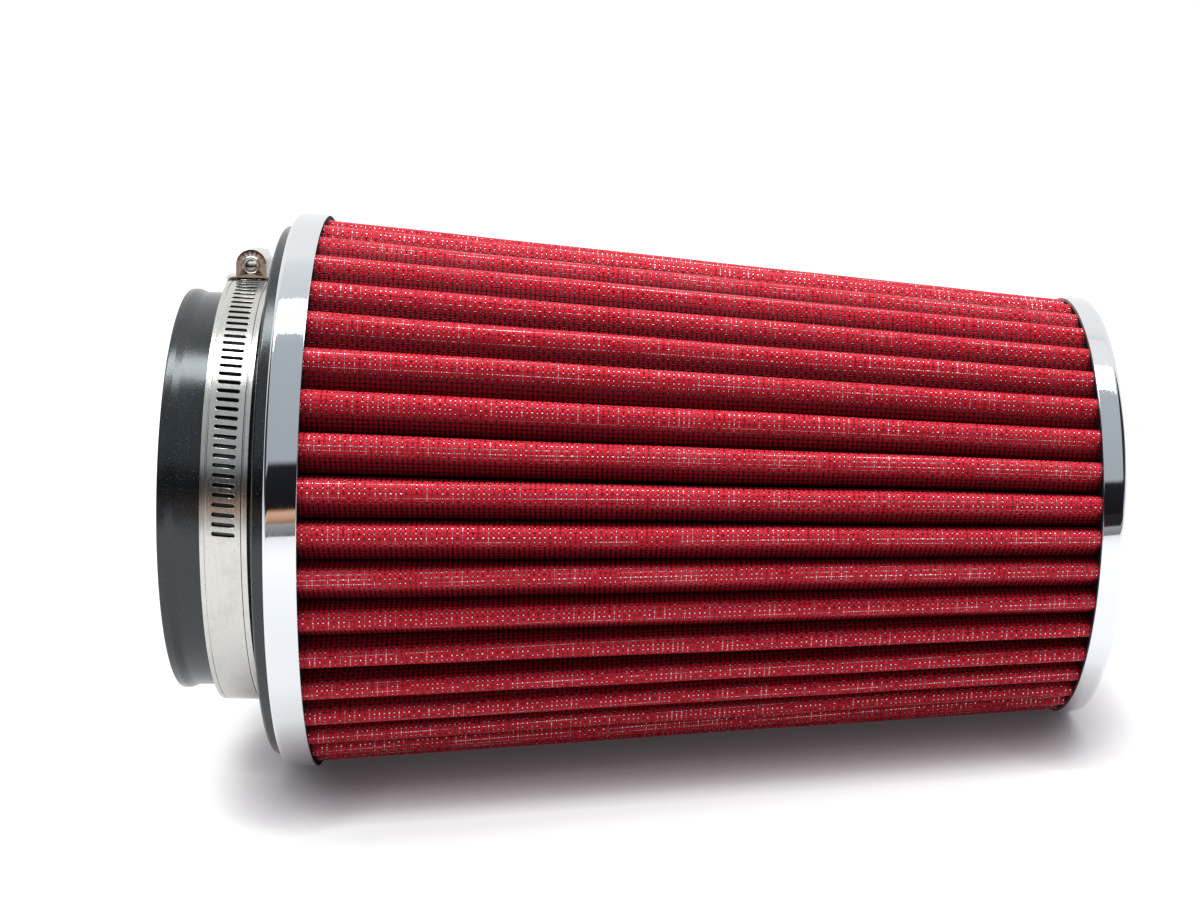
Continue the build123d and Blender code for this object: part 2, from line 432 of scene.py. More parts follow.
def make_media():
    """Red gauze that swells through the openings of a thin wire screen.

    One unit of the UV map is one wire pitch. The folds get painted shade that darkens with their depth below
    the crests.
    """
    wire_edge = 0.84
    wire_level = 0.62
    wire_lift = 0.38
    swell_height = 0.45
    coated_wires = 0.6
    coated_knuckles = 0.3
    row_stride = 613.0
    material, tree, shader = new_material("red_media")
    place = tree.node("ShaderNodeUVMap", uv_map="weave").outputs["UV"]
    parts = tree.node("ShaderNodeSeparateXYZ")
    tree.feed(parts.inputs[0], place)
    column = parts.outputs["X"]
    row = parts.outputs["Y"]

    # Wires that pass over and under each other, and the gauze between them
    turn_x = tree.math("MULTIPLY", column, math.pi)
    turn_y = tree.math("MULTIPLY", row, math.pi)
    across = tree.math("COSINE", turn_x)
    along = tree.math("COSINE", turn_y)
    over = tree.math("MULTIPLY", across, along)
    long_wire = tree.spread(tree.math("ABSOLUTE", across), wire_edge, 1.0)
    cross_wire = tree.spread(tree.math("ABSOLUTE", along), wire_edge, 1.0)
    long_rise = tree.math("MULTIPLY_ADD", over, wire_lift, wire_level)
    cross_rise = tree.math("MULTIPLY_ADD", over, -wire_lift, wire_level)
    long_height = tree.math("MULTIPLY", long_wire, long_rise)
    cross_height = tree.math("MULTIPLY", cross_wire, cross_rise)
    screen = tree.math("MAXIMUM", long_height, cross_height)
    opening = tree.math("MULTIPLY", tree.math("SINE", turn_x), tree.math("SINE", turn_y))
    swell = tree.math("ABSOLUTE", opening)
    height = tree.math("MAXIMUM", screen, tree.math("MULTIPLY", swell, swell_height))

    # Stretches of wire and knuckles where the coating is off
    patch = tree.spread(tree.noise(place, scale=0.11), 0.35, 0.65, 0.0, 0.45)
    bare_long = tree.math("MULTIPLY", tree.chance(column, coated_wires), long_wire)
    bare_cross = tree.math("MULTIPLY", tree.chance(row, coated_wires), cross_wire)
    bare = tree.math("MULTIPLY", tree.math("MAXIMUM", bare_long, bare_cross), patch)
    crossing = tree.math("MULTIPLY_ADD", tree.math("ROUND", row), row_stride, column)
    knuckle = tree.spread(tree.math("ABSOLUTE", over), 0.72, 1.0)
    bare_knuckle = tree.math("MULTIPLY", knuckle, tree.chance(crossing, coated_knuckles))
    bare = tree.math("MAXIMUM", bare, bare_knuckle)

    # Colours
    cloud = tree.noise(tree.place("Object"), scale=70.0, detail=4.0, roughness=0.6)
    fleck = tree.noise(place, scale=1.3, detail=2.0, roughness=0.6)
    depth = tree.node("ShaderNodeAttribute", attribute_name="fold_depth").outputs["Fac"]
    # Painted shade in the folds: gauze, gaps between the swells and wires darken with the depth below the
    # crests
    painted_fold_shade = tree.spread(depth, 0.9, 3.4)
    # Painted shade round the wires: the gauze darkens from the middle of each opening towards the wires
    painted_gap_shade = tree.mix(cloud, (0.11, 0.0, 0.005, 1), (0.17, 0.0, 0.009, 1))
    painted_gap_shade = tree.mix(painted_fold_shade, painted_gap_shade, (0.022, 0.0, 0.001, 1))
    red = tree.mix(fleck, (0.82, 0.003, 0.018, 1), (1.0, 0.014, 0.05, 1))
    red = tree.mix(painted_fold_shade, red, (0.34, 0.0, 0.012, 1))
    gauze = tree.mix(tree.spread(swell, 0.1, 0.6), painted_gap_shade, red)
    metal = tree.spread(screen, 0.25, 0.5)
    wire = tree.mix(bare, (0.34, 0.02, 0.035, 1), (1.0, 0.62, 0.66, 1))
    wire = tree.mix(painted_fold_shade, wire, (0.10, 0.012, 0.018, 1))
    gleam = tree.spread(bare, 0.0, 0.6, 0.5, 1.0)
    tree.feed(shader.inputs["Base Color"], tree.mix(metal, gauze, wire))
    tree.feed(shader.inputs["Metallic"], tree.math("MULTIPLY", metal, gleam))
    tree.feed(shader.inputs["Roughness"], tree.spread(screen, 0.2, 0.6, 0.65, 0.2))
    shader.inputs["Specular IOR Level"].default_value = 0.25
    tree.feed(shader.inputs["Normal"], tree.bump(height, distance=0.00021))
    return material


rubber = make_rubber()
potting = make_potting()
chrome = make_chrome()
band_steel = make_stainless("band_steel", smudge=1.0, gloss=0.17)
worm_steel = make_stainless("worm_steel", smudge=0.5, gloss=0.12)
shaded_cut_edge = make_shaded_cut_edge()
red_media = make_media()


# Turned pieces
def dull_face(piece, height):
    """Gives the flat face at a height the poured finish."""
    flat = 0.9
    nearby = 0.1
    piece.data.materials.append(potting)
    for face in piece.data.polygons:
        if abs(face.normal.z) > flat and abs(face.center.z - height * MM) < nearby * MM:
            face.material_index = 1


def make_base():
    """Neck with its lip and clamp seat, flange and potting ring, with moulded edges."""
    skin = SHEET_METAL + BOND_LINE
    seat_edge = 0.3
    corners = [
        (BORE_RADIUS, 0.0, 0.5),
        (LIP_RADIUS, 0.0, 0.6),
        (LIP_RADIUS, LIP_WIDTH, 1.2),
        (NECK_RADIUS, LIP_WIDTH + LIP_SLOPE, 3.0),
        (NECK_RADIUS, SEAT_FRONT, seat_edge),
        (SEAT_RADIUS, SEAT_FRONT, seat_edge),
        (SEAT_RADIUS, SEAT_BACK, seat_edge),
        (NECK_RADIUS, SEAT_BACK, seat_edge),
        (NECK_RADIUS, NECK_LENGTH, 0.5),
        (FLANGE_RADIUS, NECK_LENGTH, 1.0),
        (FLANGE_RADIUS, TRIM_FRONT + skin, 0.0),
        (BASE_RADIUS - TRIM_SHOULDER, TRIM_FRONT + skin, 0.0),
        (BASE_RADIUS - skin, TRIM_FRONT + TRIM_SHOULDER, 0.0),
        (BASE_RADIUS - skin, MEDIA_BASE, 0.0),
        (BORE_RADIUS, MEDIA_BASE, 0.8),
    ]
    piece = turned("rubber_base", rounded(corners), rubber)
    dull_face(piece, MEDIA_BASE)
    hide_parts("base_flange")


def make_trim():
    """Thin ring with a rounded front shoulder, closed over the potting ring."""
    lip_edge = 0.15
    rim_edge = 0.22
    corners = [
        (TRIM_LIP_RADIUS, TRIM_FRONT, lip_edge),
        (BASE_RADIUS, TRIM_FRONT, TRIM_SHOULDER),
        (BASE_RADIUS, TRIM_BACK, rim_edge),
        (BASE_RADIUS - SHEET_METAL, TRIM_BACK, rim_edge),
        (BASE_RADIUS - SHEET_METAL, TRIM_FRONT + SHEET_METAL, TRIM_SHOULDER - SHEET_METAL),
        (TRIM_LIP_RADIUS, TRIM_FRONT + SHEET_METAL, lip_edge),
    ]
    piece = turned("chrome_ring", rounded(corners, SHOULDER_STEPS), chrome)
    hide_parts("base_trim_ring")


def make_cap():
    """Pressed cap with a rounded shoulder round a flat end."""
    inside = CAP_RADIUS - SHEET_METAL
    rim_edge = 0.2
    corners = [
        (inside, CAP_RIM, rim_edge),
        (CAP_RADIUS, CAP_RIM, rim_edge),
        (CAP_RADIUS, CAP_TOP, CAP_SHOULDER),
        (0.0, CAP_TOP, 0.0),
        (0.0, CAP_TOP - SHEET_METAL, 0.0),
        (inside, CAP_TOP - SHEET_METAL, CAP_SHOULDER - SHEET_METAL),
    ]
    piece = turned("chrome_cap", rounded(corners, SHOULDER_STEPS), chrome)
    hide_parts("end_cap")


def make_tip_disc():
    """Disc that closes the small end of the pleats."""
    edge = CAP_RADIUS - SHEET_METAL - BOND_LINE
    rim_edge = 0.5
    corners = [
        (0.0, MEDIA_TIP, 0.0),
        (edge, MEDIA_TIP, rim_edge),
        (edge, CAP_TOP - CAP_SHOULDER, 0.0),
        (0.0, CAP_TOP - CAP_SHOULDER, 0.0),
    ]
    piece = turned("rubber_tip", rounded(corners), rubber)
    dull_face(piece, MEDIA_TIP)
    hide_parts("tip_potting")


# Folded media
def arc_points(centre, radius, first, last, steps):
    """Points of an arc in (radial, across) distances, with its turn measured from the outward direction."""
    points = []
    for step in range(steps + 1):
        turn = first + (last - first) * step / steps
        points.append((centre[0] + radius * math.cos(turn), centre[1] + radius * math.sin(turn)))
    return points


def crest_points(crest_radius, side):
    """A crest from its steep to its slack flank, on the sheet's outer (side 1) or inner (side -1) face."""
    outer_steps = 12
    inner_steps = 6
    pitch = 2 * math.pi * crest_radius / PLEAT_COUNT
    bend = CREST_BEND_SHARE * pitch
    centre = (crest_radius - bend, 0.0)
    first = -math.radians(90 - STEEP_FLANK)
    last = math.radians(CREASE_ANGLE)
    if side == 1:
        return arc_points(centre, bend, first, last, outer_steps)
    return arc_points(centre, bend - MEDIA_THICKNESS, first, last, inner_steps)


def valley_points(crest_radius, side):
    """A valley as a narrow slot that opens into the flanks on both sides."""
    bend_steps = 3
    slot_steps = 4
    pitch = 2 * math.pi * crest_radius / PLEAT_COUNT
    mouth = crest_radius - MOUTH_DEPTH_SHARE * pitch
    bend = VALLEY_BEND
    if side == -1:
        bend += MEDIA_THICKNESS
        mouth -= MEDIA_THICKNESS * math.tan(math.radians((STEEP_FLANK + SLACK_FLANK) / 4))
    bottom = crest_radius - PLEAT_DEPTH + MEDIA_THICKNESS + VALLEY_BEND
    half = arc_points((bottom, 0.0), bend, math.pi, math.pi / 2, bend_steps)
    for step in range(1, slot_steps + 1):
        half.append((bottom + (mouth - bottom) * step / slot_steps, bend))
    return [(radial, -across) for radial, across in reversed(half[1:])] + half


def pleat_section(crest_radius, side, jitter):
    """Points of the folded sheet's outer (side 1) or inner (side -1) face, once round the axis."""
    flank_steps = 5
    crest = crest_points(crest_radius, side)
    valley = valley_points(crest_radius, side)
    folds = []
    for fold in range(2 * PLEAT_COUNT):
        push, swing = jitter[fold]
        angle = PLEAT_PHASE + 180 / PLEAT_COUNT * fold + swing
        shape = crest
        if fold % 2 == 1:
            shape = valley
            angle += CREST_LEAN
        folds.append([polar(angle, radial + push, across) for radial, across in shape])
    section = []
    for fold, bent in enumerate(folds):
        section += bent
        start = Vector(bent[-1])
        finish = Vector(folds[(fold + 1) % len(folds)][0])
        for step in range(1, flank_steps):
            section.append(tuple(start.lerp(finish, step / flank_steps)))
    return section


def slow_noise(fold, height, per_fold, per_height, slice_at):
    """Smooth noise along a fold, unlike that of the next fold."""
    return noise.noise(Vector((fold * per_fold, height * per_height, slice_at)))


def fold_jitter(still, height):
    """Push and swing of each fold at a height, which wander a little round its fixed ones."""
    inset = 0.12
    breath_reach = 0.14
    wander_reach = 0.3
    jitter = []
    for fold, (push, swing) in enumerate(still):
        wander = slow_noise(fold, height, per_fold=3.7, per_height=0.018, slice_at=1.3)
        breath = slow_noise(fold, height, per_fold=5.1, per_height=0.03, slice_at=9.2)
        jitter.append((push + breath_reach * breath - inset, swing + wander_reach * wander))
    return jitter


def wires_along(section):
    """Number of wires passed at each point of a section, with as many in each pleat."""
    count = len(section)
    per_pleat = count // PLEAT_COUNT
    lengths = [0.0]
    for index in range(count):
        step = Vector(section[(index + 1) % count]) - Vector(section[index])
        lengths.append(lengths[-1] + step.length)
    wires = []
    for index in range(count + 1):
        pleat = min(index // per_pleat, PLEAT_COUNT - 1)
        start = lengths[pleat * per_pleat]
        whole = lengths[(pleat + 1) * per_pleat] - start
        wires.append((pleat + (lengths[index] - start) / whole) * WIRES_PER_PLEAT)
    return wires


def make_media_piece():
    """Outer and inner face of the folded sheet, with a weave map that follows the folds."""
    random.seed(7)
    pushes = (-0.18, 0.12)
    swings = (-0.22, 0.22)
    crease_angle = 50
    rows = {1: 40, -1: 8}
    still = [(random.uniform(*pushes), random.uniform(*swings)) for fold in range(2 * PLEAT_COUNT)]
    vertices = []
    faces = []
    weave = []
    depths = []
    for side in (1, -1):
        first = len(vertices)
        for row in range(rows[side] + 1):
            share = row / rows[side]
            height = MEDIA_BASE + (MEDIA_TIP - MEDIA_BASE) * share
            crest_radius = BASE_CREST_RADIUS + (TIP_CREST_RADIUS - BASE_CREST_RADIUS) * share
            section = pleat_section(crest_radius, side, fold_jitter(still, height))
            count = len(section)
            drift = (height - MEDIA_BASE) / WEAVE_DRIFT
            cross_wires = (height - MEDIA_BASE) / WIRE_PITCH
            for index, wires in enumerate(wires_along(section)):
                point = section[index % count]
                vertices.append((point[0], point[1], height))
                depths.append(crest_radius - math.hypot(*point))
                weave.append((wires + drift, cross_wires))
        columns = count + 1
        for row in range(rows[side]):
            for index in range(count):
                corner = first + row * columns + index
                quad = (corner, corner + 1, corner + columns + 1, corner + columns)
                faces.append(quad if side == 1 else quad[::-1])
    piece = new_object("pleated_screen", vertices, faces, red_media)
    uv_map = piece.data.uv_layers.new(name="weave")
    for loop in piece.data.loops:
        uv_map.data[loop.index].uv = weave[loop.vertex_index]
    fold_depth = piece.data.attributes.new("fold_depth", "FLOAT", "POINT")
    fold_depth.data.foreach_set("value", depths)
    smooth(piece, crease_angle)
    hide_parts("pleated_media")


# Worm clamp
def band_point(run, height, rise):
    """Point of the band by its run from the tucked-in end, its height and its rise over mid-sheet."""
    start = CLAMP_ANGLE + CLAMP_TUCK
    half_turn = math.pi * WRAP_RADIUS
    if run <= half_turn:
        x, y = polar(start - math.degrees(run / WRAP_RADIUS), WRAP_RADIUS + rise)
        return (x, y, height)
    centre = polar(start, CLIMB)
    x, y = polar(start - 180 - math.degrees((run - half_turn) / TAIL_RADIUS), TAIL_RADIUS + rise)
    return (x + centre[0], y + centre[1], height)


def slot_outline(across, upright):
    """Points round a slot with round ends, sideways and lengthways from its middle."""
    half_width = SLOT_WIDTH / 2
    straight = SLOT_LENGTH / 2 - half_width
    half = []
    for step in range(upright):
        half.append((-half_width, straight * (2 * step / upright - 1)))
    for step in range(across):
        turn = math.pi * step / across
        half.append((-half_width * math.cos(turn), straight + half_width * math.sin(turn)))
    return half + [(-sideways, -lengthways) for sideways, lengthways in half]


def make_band():
    """Strip wound once round the neck, its slotted tail passing over its tucked-in end."""
    worm_run = math.pi * WRAP_RADIUS + TAIL_RADIUS * math.radians(180 + CLAMP_TUCK)
    whole_run = worm_run + CLAMP_TAIL
    slots_start = worm_run - (SLOTS_BEFORE_WORM + 0.5) * SLOT_PITCH
    slots_end = worm_run + (SLOTS_PAST_WORM + 0.5) * SLOT_PITCH
    slot_count = SLOTS_BEFORE_WORM + SLOTS_PAST_WORM + 1
    outer = CLAMP_THICKNESS / 2

    # Columns along the band, with each slot in a cell of its own
    across = 6
    plain_steps = 150
    tail_steps = 3
    columns = [slots_start * step / plain_steps for step in range(plain_steps)]
    first_slot_column = len(columns)
    columns += [slots_start + SLOT_PITCH * step / across for step in range(slot_count * across)]
    last_slot_column = len(columns)
    columns += [slots_end + (whole_run - slots_end) * step / tail_steps for step in range(tail_steps + 1)]

    # Rows from edge to edge
    upright = 8
    cell_margin = 0.6
    cell_low = CLAMP_MIDDLE - SLOT_LENGTH / 2 - cell_margin
    cell_high = CLAMP_MIDDLE + SLOT_LENGTH / 2 + cell_margin
    low_rows = [(CLAMP_FRONT + away, drop) for away, drop in EDGE_ROWS]
    high_rows = [(CLAMP_FRONT + CLAMP_WIDTH - away, drop) for away, drop in reversed(EDGE_ROWS)]
    cell_rows = [(cell_low + (cell_high - cell_low) * step / upright, 0.0) for step in range(upright + 1)]
    rows = low_rows + cell_rows + high_rows
    row_count = len(rows)
    first_cell_row = len(low_rows)
    last_cell_row = first_cell_row + upright

    def at(column, row):
        return column * row_count + row

    vertices = []
    faces = []
    for run in columns:
        for height, drop in rows:
            vertices.append(band_point(run, height, outer - drop))
    for column in range(len(columns) - 1):
        slotted = first_slot_column <= column < last_slot_column
        for row in range(row_count - 1):
            if slotted and first_cell_row <= row < last_cell_row:
                continue
            faces.append((at(column, row), at(column, row + 1), at(column + 1, row + 1), at(column + 1, row)))

    # Faces between the rim of each cell and its slot
    skew = math.tan(math.radians(SLOT_SKEW))
    for number in range(slot_count):
        left = first_slot_column + number * across
        right = left + across
        rim = [at(left, first_cell_row + step) for step in range(upright)]
        rim += [at(left + step, last_cell_row) for step in range(across)]
        rim += [at(right, last_cell_row - step) for step in range(upright)]
        rim += [at(right - step, first_cell_row) for step in range(across)]
        middle = slots_start + (number + 0.5) * SLOT_PITCH
        start = len(vertices)
        for sideways, lengthways in slot_outline(across, upright):
            run = middle + sideways - lengthways * skew
            vertices.append(band_point(run, CLAMP_MIDDLE + lengthways, outer))
        count = len(rim)
        for index in range(count):
            following = (index + 1) % count
            faces.append((rim[index], rim[following], start + following, start + index))

    piece = new_object("slotted_band", vertices, faces, band_steel)
    face_outward(piece.data, merge=False)
    solid = piece.modifiers.new("thickness", "SOLIDIFY")
    solid.thickness = CLAMP_THICKNESS * MM
    solid.offset = -1.0
    # The cut walls of the slots and edges take the dark edge material, which paints shade into the slots
    solid.material_offset_rim = 1
    piece.data.materials.append(shaded_cut_edge)
    break_edges(piece, width=0.07, segments=2, angle=50)
    settle(piece)
    shade_as_hoop(piece.data)
    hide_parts("clamp_band")


def worm_matrix():
    """Frame of the worm: X to the mouth, Y outward, Z along the screw to its head."""
    outward = Vector((*polar(CLAMP_ANGLE, 1.0), 0.0))
    head_way = Vector((*polar(CLAMP_ANGLE, 0.0, -1.0), 0.0))
    turn = Matrix((Vector((0.0, 0.0, -1.0)), outward, head_way)).transposed().to_4x4()
    centre = Vector((*polar(CLAMP_ANGLE, WORM_AXIS_RADIUS), CLAMP_MIDDLE)) * MM
    return Matrix.Translation(centre) @ turn


def make_housing():
    """The source's housing with its edges broken as a stamped piece has them."""
    weld_distance = 0.002
    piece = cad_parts["clamp_housing"]
    piece.data.materials.clear()
    piece.data.materials.append(worm_steel)
    weld = piece.modifiers.new("weld", "WELD")
    weld.merge_threshold = weld_distance * MM
    break_edges(piece, width=0.14, segments=3, angle=40)
    piece.modifiers.new("flat_faces", "WEIGHTED_NORMAL")


def tube_faces(first, rows, around):
    """Faces between rings of points that follow each other in a list."""
    faces = []
    for row in range(rows):
        here = first + row * around
        there = here + around
        for step in range(around):
            following = (step + 1) % around
            faces.append((here + step, here + following, there + following, there + step))
    return faces


def make_screw():
    """Worm with its thread, dimpled pilot and shank, made along Z and set in the worm's frame."""
    around = 48
    lengthways = 96
    thread_fade = 0.8
    thread_half = 0.32
    flank_gain = 1.6
    thread_height = WORM_CREST_RADIUS - WORM_CORE_RADIUS
    vertices = []
    for row in range(lengthways + 1):
        height = -WORM_CORE_END + 2 * WORM_CORE_END * row / lengthways
        fade = min(1.0, (WORM_CORE_END - abs(height)) / thread_fade)
        for step in range(around):
            angle = 2 * math.pi * step / around
            phase = (height / SLOT_PITCH - step / around) % 1.0
            ridge = max(0.0, 1.0 - abs(phase - 0.5) / thread_half)
            radius = WORM_CORE_RADIUS + thread_height * min(1.0, ridge * flank_gain) * fade
            vertices.append((radius * math.cos(angle), radius * math.sin(angle), height))
    faces = tube_faces(0, lengthways, around)

    # Outlines of the dimpled pilot and of the shank, in (radius, height) points
    pilot = [
        (0.0, -5.85),
        (1.45, -6.72),
        (1.6, -PILOT_END),
        (2.15, -PILOT_END),
        (PILOT_RADIUS, -6.6),
        (PILOT_RADIUS, -WORM_CORE_END),
        (WORM_CORE_RADIUS, -WORM_CORE_END),
    ]
    shank = [
        (WORM_CORE_RADIUS, WORM_CORE_END),
        (SHANK_RADIUS, WORM_CORE_END),
        (SHANK_RADIUS, HEAD_START),
    ]
    for outline in (pilot, shank):
        faces += tube_faces(len(vertices), len(outline) - 1, around)
        for radius, height in outline:
            for step in range(around):
                angle = 2 * math.pi * step / around
                vertices.append((radius * math.cos(angle), radius * math.sin(angle), height))
    piece = new_object("worm_screw", vertices, faces, worm_steel, "screw")
    face_outward(piece.data)
    piece.data.transform(worm_matrix())
    smooth(piece)
    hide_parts("clamp_screw")


def mesh_in_worm_frame(name, shape):
    """Mesh of a shape that was made along Z, set in the worm's frame."""
    mesh = bpy.data.meshes.new(name)
    shape.to_mesh(mesh)
    shape.free()
    mesh.transform(worm_matrix())
    return mesh


def make_screw_head():
    """Hexagon head with chamfered corners and a screwdriver slot."""
    sides = 6
    base_chamfer = 0.3
    top_chamfer = 0.45
    slot_width = 1.2
    slot_depth = 1.6
    sharp_angle = 30
    corner = HEAD_ACROSS_FLATS / math.sqrt(3)
    levels = [
        (HEAD_START, base_chamfer),
        (HEAD_START + base_chamfer, 0.0),
        (HEAD_END - top_chamfer, 0.0),
        (HEAD_END, top_chamfer),
    ]
    shape = bmesh.new()
    rings = []
    for height, shrink in levels:
        ring = []
        for side in range(sides):
            angle = math.radians(360 / sides * side)
            x = (corner - shrink) * math.cos(angle)
            y = (corner - shrink) * math.sin(angle)
            ring.append(shape.verts.new((x * MM, y * MM, height * MM)))
        rings.append(ring)
    for lower, upper in zip(rings, rings[1:]):
        for side in range(sides):
            following = (side + 1) % sides
            shape.faces.new((lower[side], lower[following], upper[following], upper[side]))
    shape.faces.new(rings[0][::-1])
    shape.faces.new(rings[-1])
    head = place_object("worm_head", mesh_in_worm_frame("worm_head", shape))
    head.data.materials.append(worm_steel)
    block = bmesh.new()
    bmesh.ops.create_cube(block, size=1.0)
    size = Vector((slot_width, HEAD_ACROSS_FLATS * 2, slot_depth * 2)) * MM
    bmesh.ops.scale(block, vec=size, verts=block.verts)
    bmesh.ops.translate(block, vec=Vector((0, 0, HEAD_END * MM)), verts=block.verts)
    cutter = place_object("slot_cutter", mesh_in_worm_frame("slot_cutter", block))
    cut = head.modifiers.new("slot", "BOOLEAN")
    cut.operation = "DIFFERENCE"
    cut.object = cutter
    settle(head)
    bpy.data.objects.remove(cutter)
    break_edges(head, width=0.12, segments=2, angle=25)
    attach(head, "screw")
    smooth(head, sharp_angle)


# Stage
def way_down():
    """Unit vector from the axis to the table, square to the axis."""
    return Vector((*polar(CAMERA_ELEVATION, 1.0), 0.0))


def stage_axes():
    """Unit vectors of the table that the filter lies on: up, and level toward the camera."""
    slope = math.atan2(BASE_RADIUS - CAP_RADIUS, CAP_RIM - TRIM_BACK)
    along = Vector((0.0, 0.0, 1.0))
    up = -(way_down() * math.cos(slope) + along * math.sin(slope))
    front = up.cross(along).normalized()
    if front.y > 0:
        front = -front
    return up, front


def make_table_material():
    """Pale matte table that looks white to the camera and in mirrors, with a painted purple-grey shadow from
    ambient occlusion in its glow where the filter meets it, besides the real shadow in its matte part.

    Distances are in metres.
    """
    painted_shadow_reach = 0.022
    painted_shadow_contrast = 2.3
    darkest_painted_shadow = 0.07
    mirror_loss = 0.15
    near_distance = 0.12
    far_distance = 0.45
    near_level = 0.74
    far_level = 0.9
    material = bpy.data.materials.new("table")
    material.use_nodes = True
    tree = Tree(material.node_tree)
    rays = tree.node("ShaderNodeLightPath")
    seen = tree.math("MAXIMUM", rays.outputs["Is Camera Ray"], rays.outputs["Is Glossy Ray"])
    seen = tree.math("MAXIMUM", seen, rays.outputs["Is Transmission Ray"])
    matte = tree.node("ShaderNodeBsdfDiffuse")
    tree.feed(matte.inputs["Color"], tree.mix(seen, (0.5, 0.5, 0.505, 1), (0.4, 0.4, 0.405, 1)))
    # Painted shadow: the glow seen by the camera and in mirrors darkens where ambient occlusion finds the
    # filter close
    painted_shadow_ao = tree.node("ShaderNodeAmbientOcclusion", samples=8)
    painted_shadow_ao.inputs["Distance"].default_value = painted_shadow_reach
    painted_shadow_curve = tree.math("POWER", painted_shadow_ao.outputs["AO"], painted_shadow_contrast)
    painted_shadow_level = tree.math("MULTIPLY_ADD", painted_shadow_curve, 1.0 - darkest_painted_shadow, darkest_painted_shadow)
    geometry = tree.node("ShaderNodeNewGeometry")
    away = tree.node("ShaderNodeVectorMath", operation="LENGTH")
    tree.feed(away.inputs[0], geometry.outputs["Position"])
    level = tree.spread(away.outputs["Value"], near_distance, far_distance, near_level, far_level)
    mirrored = tree.math("MULTIPLY_ADD", rays.outputs["Is Glossy Ray"], -mirror_loss, 1.0)
    strength = tree.math("MULTIPLY", tree.math("MULTIPLY", seen, painted_shadow_level), level)
    glow = tree.node("ShaderNodeEmission")
    # The painted shadow is tinted purple-grey
    tree.feed(glow.inputs["Color"], tree.mix(painted_shadow_level, (0.85, 0.70, 0.78, 1), (1.0, 1.0, 1.0, 1)))
    tree.feed(glow.inputs["Strength"], tree.math("MULTIPLY", strength, mirrored))
    both = tree.node("ShaderNodeAddShader")
    tree.feed(both.inputs[0], matte.outputs[0])
    tree.feed(both.inputs[1], glow.outputs[0])
    clear = tree.node("ShaderNodeBsdfTransparent")
    pick = tree.node("ShaderNodeMixShader")
    tree.feed(pick.inputs[0], geometry.outputs["Backfacing"])
    tree.feed(pick.inputs[1], both.outputs[0])
    tree.feed(pick.inputs[2], clear.outputs[0])
    output = tree.node("ShaderNodeOutputMaterial")
    tree.feed(output.inputs["Surface"], pick.outputs[0])
    return material


def make_floor():
    """Table under the filter as it lies in the photograph, seen from its upper side only. Sizes in metres."""
    near_edge = 2.3
    reach = 9.0
    up, front = stage_axes()
    touch = (way_down() * BASE_RADIUS + Vector((0.0, 0.0, TRIM_BACK))) * MM
    side = up.cross(front)
    corners = []
    for ahead, sideways in ((-reach, -reach), (near_edge, -reach), (near_edge, reach), (-reach, reach)):
        corners.append(touch + front * ahead + side * sideways)
    mesh = bpy.data.meshes.new("table")
    mesh.from_pydata(corners, [], [(0, 1, 2, 3)])
    mesh.update()
    if mesh.polygons[0].normal.dot(up) < 0:
        mesh.flip_normals()
    table = place_object("table", mesh)
    mesh.materials.append(make_table_material())


